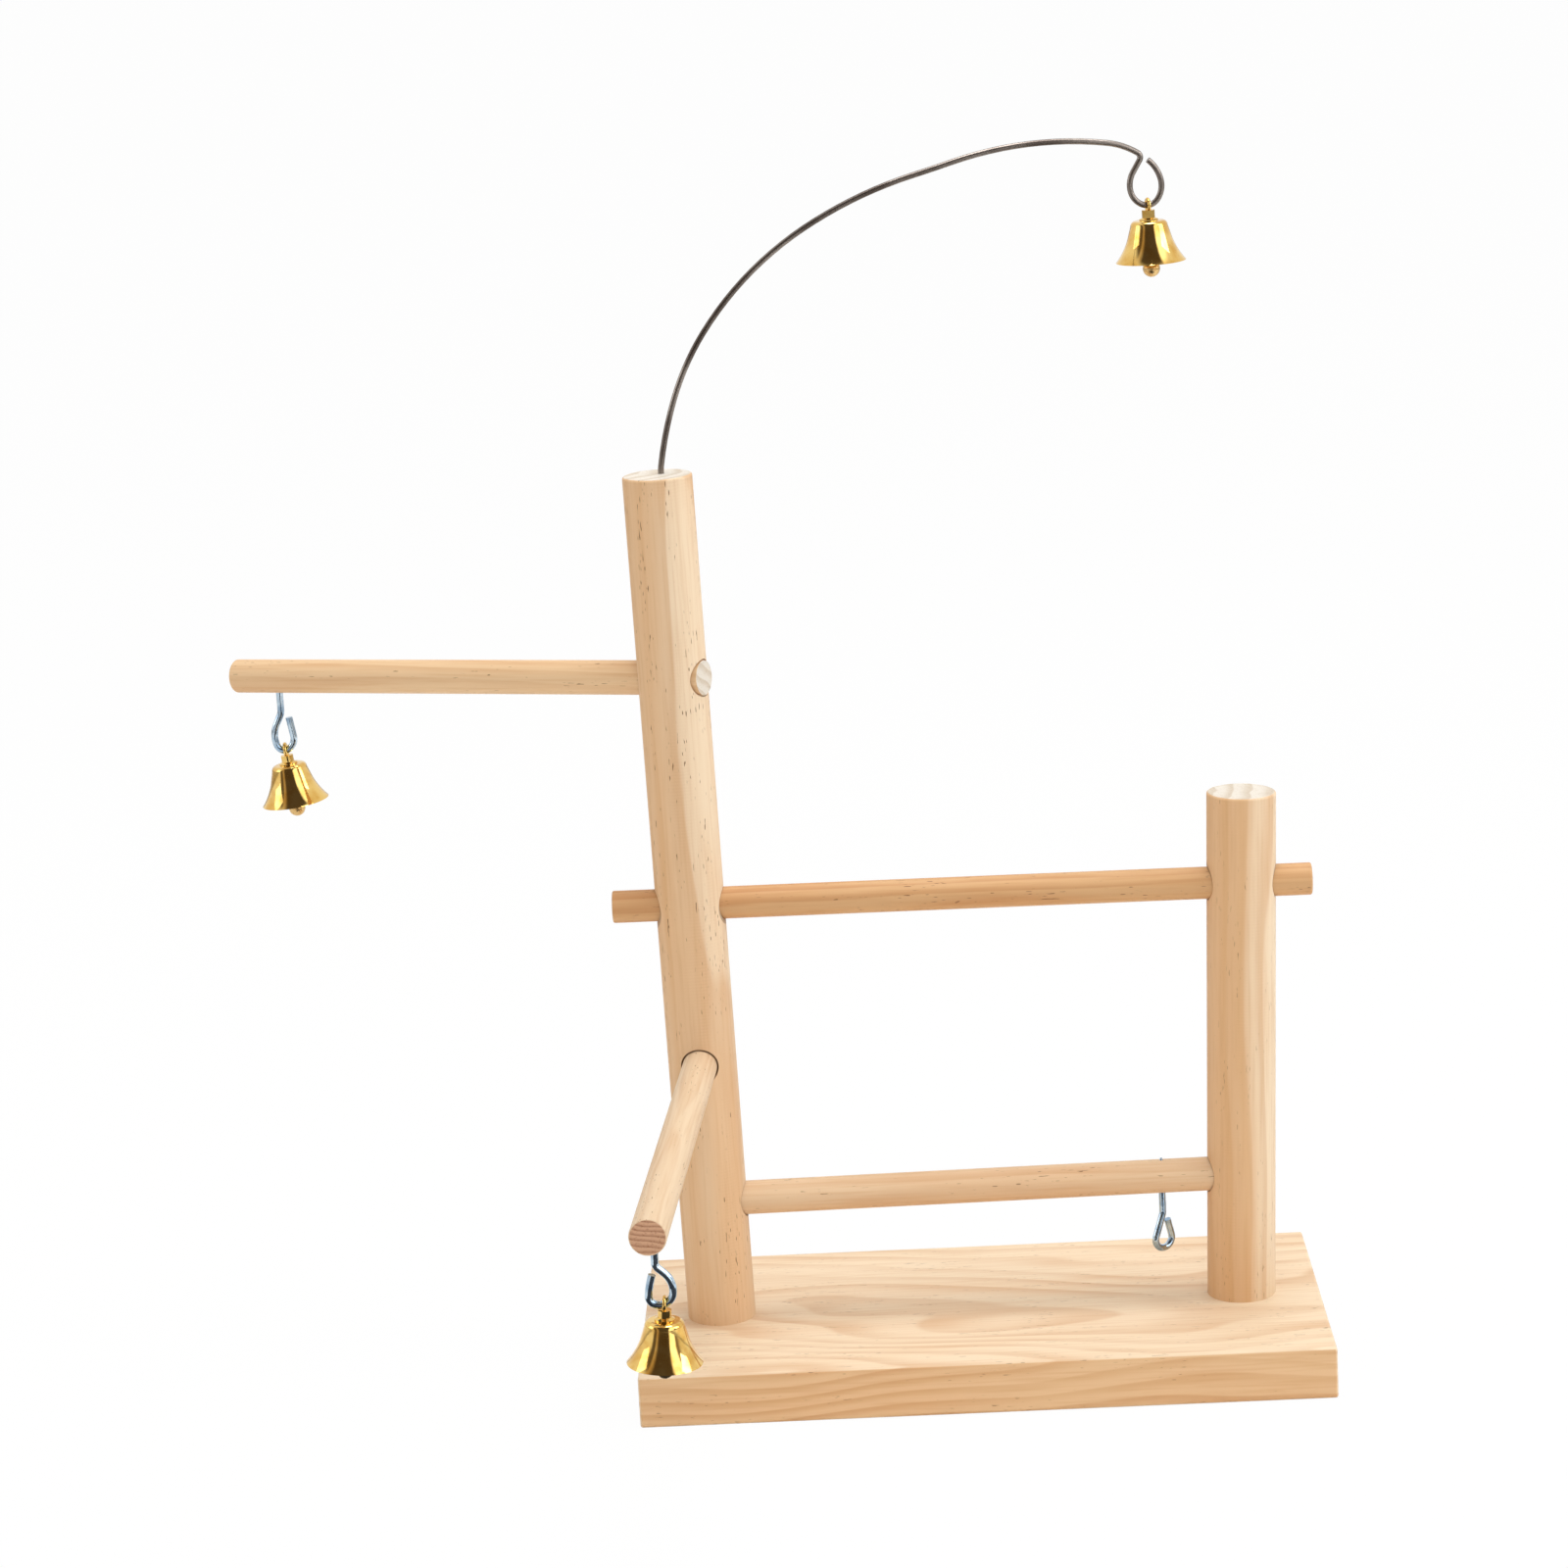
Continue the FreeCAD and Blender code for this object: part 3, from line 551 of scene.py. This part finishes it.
# %% [markdown]
# ## Relief of sanded wood
# Sanding leaves fibres standing a hair above the softer wood, and flecks a hair below. Turned
# posts also keep faint chatter marks of the cutter across the grain, in places. All of it is far
# too shallow for geometry, so it is a bump, and the roughness follows the fibres too.

# %% Raise the fibres
RELIEF = 0.00025
RELIEF_STRENGTH = 0.35
FIBRE_RAISE = 0.6
SUMMER_SINK = 0.15
CHATTER_PITCH = 0.0012
CHATTER_WAVER = (1.5, 0.6)  # how far the marks waver, and on what scale
CHATTER_SHOWS = (0.45, 0.65)


def wood_relief(tree, straight, fibre, patch, summer, dark, ripple):
    raised = add(tree, "ShaderNodeMath", MULTIPLY, i0=fibre, i1=FIBRE_RAISE)
    sunk = add(tree, "ShaderNodeMath", MULTIPLY, i0=summer, i1=SUMMER_SINK)
    sunk = add(tree, "ShaderNodeMath", ADD, i0=sunk, i1=dark)
    height = add(tree, "ShaderNodeMath", SUBTRACT, i0=raised, i1=sunk)
    if ripple:
        chatter = add(tree, "ShaderNodeTexWave", {"bands_direction": "X"}, Vector=straight,
                      Scale=WAVE_REPEAT / CHATTER_PITCH, Distortion=CHATTER_WAVER[0],
                      Detail_Scale=CHATTER_WAVER[1]).outputs["Fac"]
        share = add(tree, "ShaderNodeMapRange", SMOOTH, Value=patch, From_Min=CHATTER_SHOWS[0],
                    From_Max=CHATTER_SHOWS[1], To_Min=0.0, To_Max=ripple)
        marks = add(tree, "ShaderNodeMath", MULTIPLY, i0=chatter, i1=share)
        height = add(tree, "ShaderNodeMath", ADD, i0=height, i1=marks)
    return add(tree, "ShaderNodeBump", Strength=RELIEF_STRENGTH, Distance=RELIEF, Height=height)


print("relief is measured in steps of", RELIEF * 1000, "mm")

# %% [markdown]
# ## One recipe for every piece
# The steps above come together in one recipe, and each piece sets only what differs: its ring
# width, how strongly each layer shows and its own overall tone. Seven separate materials would
# drift apart; one recipe keeps them the same wood.

# %% Mix the pine
FIBRE = (0.030, 0.0011, 3.0)  # length, width and detail
PATCH = (0.120, 0.018, 2.0)
FIBRE_RANGE = (0.2, 0.8)
SANDED = (0.50, 0.68)
WOOD_SHEEN = 0.35


def pine(name, start, along, pith, ring=0.0030, wobble=0.014, contrast=0.5, flecks=0.7, warmth=0.3,
         tone=WHITE, end=CUT_END, ripple=0.0, heart=None, edge=None, mouths=(),
         bends=(5.0, 38.0, 38.0)):
    """Sanded pine: soft sheen, fine fibres, resin flecks, and rings that show on every face.
    ripple is how strongly the cutter's chatter marks cross the grain, on turned pieces. heart is the
    radius of the warmer heartwood round the pith, and how strongly it shows. edge is the tone of painted
    shade on a board's long edges, the faces that look front and back. mouths are the dowels whose
    drilled holes get painted shade just inside, and how dark each is."""
    material, tree, shader = new_material(name)
    straight, bent = grain_space(tree, start, along, pith, wobble, bends)
    summer = summer_share(tree, bent, ring)
    fibre = stretched_noise(tree, straight, *FIBRE)
    patch = stretched_noise(tree, straight, *PATCH)
    dark = fleck_share(tree, straight, flecks)
    colour = ringed_colour(tree, summer, patch, contrast, warmth)
    if heart:
        inside = heart_share(tree, bent, *heart)
        colour = add(tree, "ShaderNodeMix", PAINT, Factor=inside, A=colour, B=linear(HEARTWOOD))
    colour = fibred_colour(tree, colour, fibre)
    colour = add(tree, "ShaderNodeMix", PAINT, Factor=dark, A=colour, B=linear(FLECK))
    colour = add(tree, "ShaderNodeMix", TINT, Factor=1.0, A=colour, B=linear(tone))
    # painted shade in the mouths of the drilled holes
    for dowel, share in mouths:
        shade = painted_hole_shade(tree, dowel, share)
        colour = add(tree, "ShaderNodeMix", PAINT, Factor=shade, A=colour, B=linear(HOLE_SHADE))
    # painted shade on a board's long edges
    if edge:
        colour = side_shaded_colour(tree, colour, edge)
    colour = ended_colour(tree, colour, straight, along, summer, end)
    rough = add(tree, "ShaderNodeMapRange", SMOOTH, Value=fibre, From_Min=FIBRE_RANGE[0],
                From_Max=FIBRE_RANGE[1], To_Min=SANDED[0], To_Max=SANDED[1])
    relief = wood_relief(tree, straight, fibre, patch, summer, dark, ripple)
    tree.links.new(colour.outputs["Result"], shader.inputs["Base Color"])
    tree.links.new(rough.outputs["Result"], shader.inputs["Roughness"])
    tree.links.new(relief.outputs["Normal"], shader.inputs["Normal"])
    shader.inputs["Specular IOR Level"].default_value = WOOD_SHEEN
    return material


print("fibres are about", FIBRE[0] * 1000, "mm long and patches", PATCH[0] * 1000, "mm")

# %% [markdown]
# ## The seven wooden pieces
# The board is cut flat, so its rings run in flames over the top. The posts are cut near the heart
# and show it as a warm stripe. The upper crossbar is the darkest and the front perch the palest.

# %% Dress the wooden pieces
ALONG_BOARD = (1, 0, 0)
WOOD = {
    # node: grain direction, pith from the piece's middle in metres, and what sets its look
    "base_board": (ALONG_BOARD, (-0.010, -0.075),
                   dict(ring=0.0050, wobble=0.055, contrast=0.50, flecks=0.6, warmth=0.15,
                        # its edge tone is painted shade on the faces that look front and back
                        edge="#F6E2CA", bends=(4.0, 13.0, 13.0))),
    "tall_post": ((-0.0189, 0.0047, 1), (0.012, 0.022),
                  dict(ring=0.0074, wobble=0.024, contrast=0.66, flecks=1.0, warmth=0.45, end=PALE_END,
                       ripple=0.5, heart=(0.034, 0.70),
                       mouths=(("front_perch", 0.85), ("left_perch", 0.3), ("upper_crossbar", 0.5),
                               ("lower_crossbar", 0.35)))),
    "short_post": ((0.0264, 0, 1), (0.004, 0.034),
                   dict(ring=0.0080, wobble=0.022, contrast=0.60, flecks=0.5, warmth=0.45, end=PALE_END,
                        ripple=0.4, heart=(0.041, 0.75),
                        mouths=(("upper_crossbar", 0.5), ("lower_crossbar", 0.8)))),
    "upper_crossbar": (ALONG_BOARD, (0.014, 0.012),
                       dict(ring=0.0040, wobble=0.016, contrast=0.65, warmth=0.9, flecks=0.9,
                            tone="#E6CAAA")),
    "lower_crossbar": (ALONG_BOARD, (0.025, 0.022),
                       dict(ring=0.0060, contrast=0.45, tone="#F8ECE0")),
    "left_perch": (DOWELS["left_perch"][1], (0.018, -0.025),
                   dict(ring=0.0046, contrast=0.46, tone="#F6E6D2", end=PALE_END)),
    "front_perch": (DOWELS["front_perch"][1], (0.009, 0.038),
                    dict(ring=0.0018, contrast=0.30, flecks=0.8, tone="#F1ECE6", end=BROWN_END)),
}


def dress(node, material):
    """Gives a piece one finish all over."""
    slots = NODES[node].data.materials
    slots.clear()
    slots.append(material)


for node, (along, pith, look) in WOOD.items():
    dress(node, pine("sanded_pine_" + node, middle(node), along, pith, **look))
print("pine on", len(WOOD), "pieces")

# %% [markdown]
# ## Metals
# The eyes are steel wire with a bright zinc plate, which looks faintly blue. The arch is drawn
# spring steel, darker and a little dull. The bells are turned brass that was tumbled until it
# shone: nearly a mirror, a touch uneven. A metal's colour is the colour of its mirror image, so
# each has two near tones and a narrow range of roughness, which vary over patches of a real size.

# %% Mix the metals
PATCHES_BLEND = (0.35, 0.7)
PATCHES_DULL = (0.3, 0.7)
FINE_PER_PATCH = 6
METAL_RELIEF = 0.0001
METALS = {
    # name, two tones, least and most roughness, patch size in metres, strength of the relief
    "zinc": ("zinc_plated_steel", "#C6D9E8", "#8FA9C2", 0.07, 0.14, 0.004, 0.12),
    "spring": ("drawn_spring_steel", "#8F867F", "#5C524C", 0.30, 0.40, 0.020, 0.02),
    "brass": ("polished_brass", "#EBC676", "#D9A852", 0.05, 0.12, 0.005, 0.06),
    "ball": ("plain_brass_ball", "#DDBC82", "#CFA566", 0.22, 0.34, 0.003, 0.10),
    "screw": ("zinc_plated_screw", "#C9C9C4", "#AEAFAC", 0.22, 0.34, 0.004, 0.10),
}


def metal(name, colour, tint, rough_low, rough_high, grit, bumps):
    """Bare metal whose tone and polish vary over patches of grit metres."""
    material, tree, shader = new_material(name)
    where = add(tree, "ShaderNodeTexCoord").outputs["Object"]
    patch = add(tree, "ShaderNodeTexNoise", Vector=where, Scale=1 / grit, Detail=4.0).outputs["Fac"]
    fine = add(tree, "ShaderNodeTexNoise", Vector=where, Scale=FINE_PER_PATCH / grit,
               Detail=2.0).outputs["Fac"]
    share = add(tree, "ShaderNodeMapRange", SMOOTH, Value=patch, From_Min=PATCHES_BLEND[0],
                From_Max=PATCHES_BLEND[1])
    tone = add(tree, "ShaderNodeMix", PAINT, Factor=share, A=linear(colour), B=linear(tint))
    rough = add(tree, "ShaderNodeMapRange", SMOOTH, Value=patch, From_Min=PATCHES_DULL[0],
                From_Max=PATCHES_DULL[1], To_Min=rough_low, To_Max=rough_high)
    bump = add(tree, "ShaderNodeBump", Strength=bumps, Distance=METAL_RELIEF, Height=fine)
    tree.links.new(tone.outputs["Result"], shader.inputs["Base Color"])
    tree.links.new(rough.outputs["Result"], shader.inputs["Roughness"])
    tree.links.new(bump.outputs["Normal"], shader.inputs["Normal"])
    shader.inputs["Metallic"].default_value = 1.0
    return material


FINISHES = {key: metal(*facts) for key, facts in METALS.items()}
print(len(FINISHES), "metals mixed")

# %% [markdown]
# Which metal a piece is made of could be listed node by node. The names already say it, so a
# short list of words does, and whatever it doesn't name is part of a bell and so brass.

# %% Dress the metal pieces
def metal_of(node):
    """Which metal a piece is made of, from its name."""
    for word, key in (("screw_eye", "zinc"), ("post_screw", "screw"), ("wire_arm", "spring"),
                      ("clapper_ball", "ball")):
        if word in node:
            return key
    return "brass"


METAL_NODES = [node for node in NODES if node not in WOOD]
for node in METAL_NODES:
    dress(node, FINISHES[metal_of(node)])
print("metals on", len(METAL_NODES), "pieces")

# %% [markdown]
# ## Turned bells
# A bell is turned from brass: a flat crown, a rounded shoulder, a straight wall and a flared lip.
# It mirrors the whole room, so any crease in its surface shows as a line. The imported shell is
# loose triangles with creases of their own, and a mesh spun from one outline has none. The
# outline needs only its corners, because a vertex bevel turns a corner into a smooth round.

# %% Draw half of the bell's outline
MM = 0.001
CROWN_DROP = 5.4
LIP_DROP = 20.0
WAIST_BELOW_CROWN = 6.4
BELL_WALL = 1.1
BORE_RADIUS = 1.25
CROWN_RADIUS = 6.65
WAIST_RADIUS = 8.0
LIP_RADIUS = 12.55
SHOULDER_ROUND = 1.8
LIP_ROUND = 0.3
ARC_STEPS = 8
TOUCHING = 1e-7


def bell_corners(inset):
    """Corners of one face of the wall, from the bore to the lip, in millimetres: radius, and height,
    which is below zero under the wire that the bell hangs on. The last corner but one is where the
    flare's two tangents meet, and the third is where the shoulder has turned into the wall."""
    top = -CROWN_DROP - inset
    crown = CROWN_RADIUS - inset
    shoulder = Vector((crown, top - SHOULDER_ROUND + inset / 2))
    waist = Vector((WAIST_RADIUS - inset, -CROWN_DROP - WAIST_BELOW_CROWN))
    lip = Vector((LIP_RADIUS - inset, -LIP_DROP))
    chord = lip - waist
    wall = (waist - shoulder).normalized()
    flare = waist + wall * chord.length_squared / (2 * chord.dot(wall))
    return [Vector((BORE_RADIUS, top)), Vector((crown, top)), shoulder, waist, flare, lip]


def round_corner(shape, place, size):
    """Rounds the corner at a place, starting size away from it."""
    corner = [v for v in shape.verts if (v.co - place).length < TOUCHING]
    bmesh.ops.bevel(shape, geom=corner, offset=size, offset_type="OFFSET", affect="VERTICES",
                    segments=ARC_STEPS, profile=0.5, material=-1)


def bell_outline(shape):
    """The closed outline of the wall: outer corners down, inner corners up, then the rounds."""
    outer, inner = ([Vector((x, 0.0, z)) * MM for x, z in bell_corners(inset)]
                    for inset in (0.0, BELL_WALL))
    verts = [shape.verts.new(place) for place in outer + inner[::-1]]
    for first, second in zip(verts, verts[1:] + verts[:1]):
        shape.edges.new((first, second))
    for bore, crown, shoulder, waist, flare, lip in (outer, inner):
        round_corner(shape, crown, (shoulder - crown).length)
        round_corner(shape, flare, (waist - flare).length)
        round_corner(shape, lip, LIP_ROUND * MM)
    bmesh.ops.remove_doubles(shape, verts=shape.verts, dist=TOUCHING)


print("outer corners", [tuple(round(c, 2) for c in corner) for corner in bell_corners(0.0)])

# %% [markdown]
# A lathe turns a bell about its middle, and spin does the same to the outline. Each bell's place
# and lean could be typed in again, but its joints hold them: the bell hangs from its swing, in
# line with its clapper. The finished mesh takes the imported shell's place and moves with its body.

# %% Spin the three bells
SPIN_STEPS = 96
CREASE = 40.0
JOINTS = {joint["name"]: joint for joint in frame["joints"]}


def bell_seat(name):
    """Where a bell hangs at rest: its own Z runs up its middle, and X along the axis it swings on."""
    swing = JOINTS[name + "_bell_swing"]
    hold = Vector(swing["pos_m"])
    across = Vector(swing["axis"]).normalized()
    up = (hold - Vector(JOINTS[name + "_clapper_swing"]["pos_m"])).normalized()
    return Matrix.Translation(hold) @ Matrix((across, up.cross(across), up)).transposed().to_4x4()


def spin_bell(name):
    shape = bmesh.new()
    bell_outline(shape)
    bmesh.ops.spin(shape, geom=shape.verts[:] + shape.edges[:], cent=(0, 0, 0), axis=(0, 0, 1),
                   angle=2 * math.pi, steps=SPIN_STEPS, use_merge=True)
    bmesh.ops.remove_doubles(shape, verts=shape.verts, dist=TOUCHING)
    bmesh.ops.transform(shape, matrix=bell_seat(name), verts=shape.verts)
    bmesh.ops.recalc_face_normals(shape, faces=shape.faces)
    for face in shape.faces:
        face.smooth = True
    mesh = bpy.data.meshes.new(name + "_turned_bell")
    shape.to_mesh(mesh)
    shape.free()
    mesh.set_sharp_from_angle(angle=math.radians(CREASE))
    mesh.materials.append(FINISHES["brass"])
    bell = bpy.data.objects.new(name + "_turned_bell", mesh)
    bpy.context.collection.objects.link(bell)
    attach(bell, name + "_bell")
    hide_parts(name + "_bell_shell")
    return bell


def box_slip(bell, node):
    """How far the spun bell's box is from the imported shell's, in millimetres."""
    places = [v.co for v in bell.data.vertices]
    low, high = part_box(node)
    slip = [abs(min(p[i] for p in places) - low[i]) for i in range(3)]
    slip += [abs(max(p[i] for p in places) - high[i]) for i in range(3)]
    return max(slip) / MM


for name in ("left", "front", "wire"):
    bell = spin_bell(name)
    slip = box_slip(bell, name + "_bell_shell")
    print(bell.name, len(bell.data.polygons), "faces, off by", round(slip, 3), "mm")

# %% [markdown]
# ## View transform
# The view transform is Standard, so a colour renders about as it is written.

# %% Set the view
bpy.context.scene.view_settings.view_transform = "Standard"
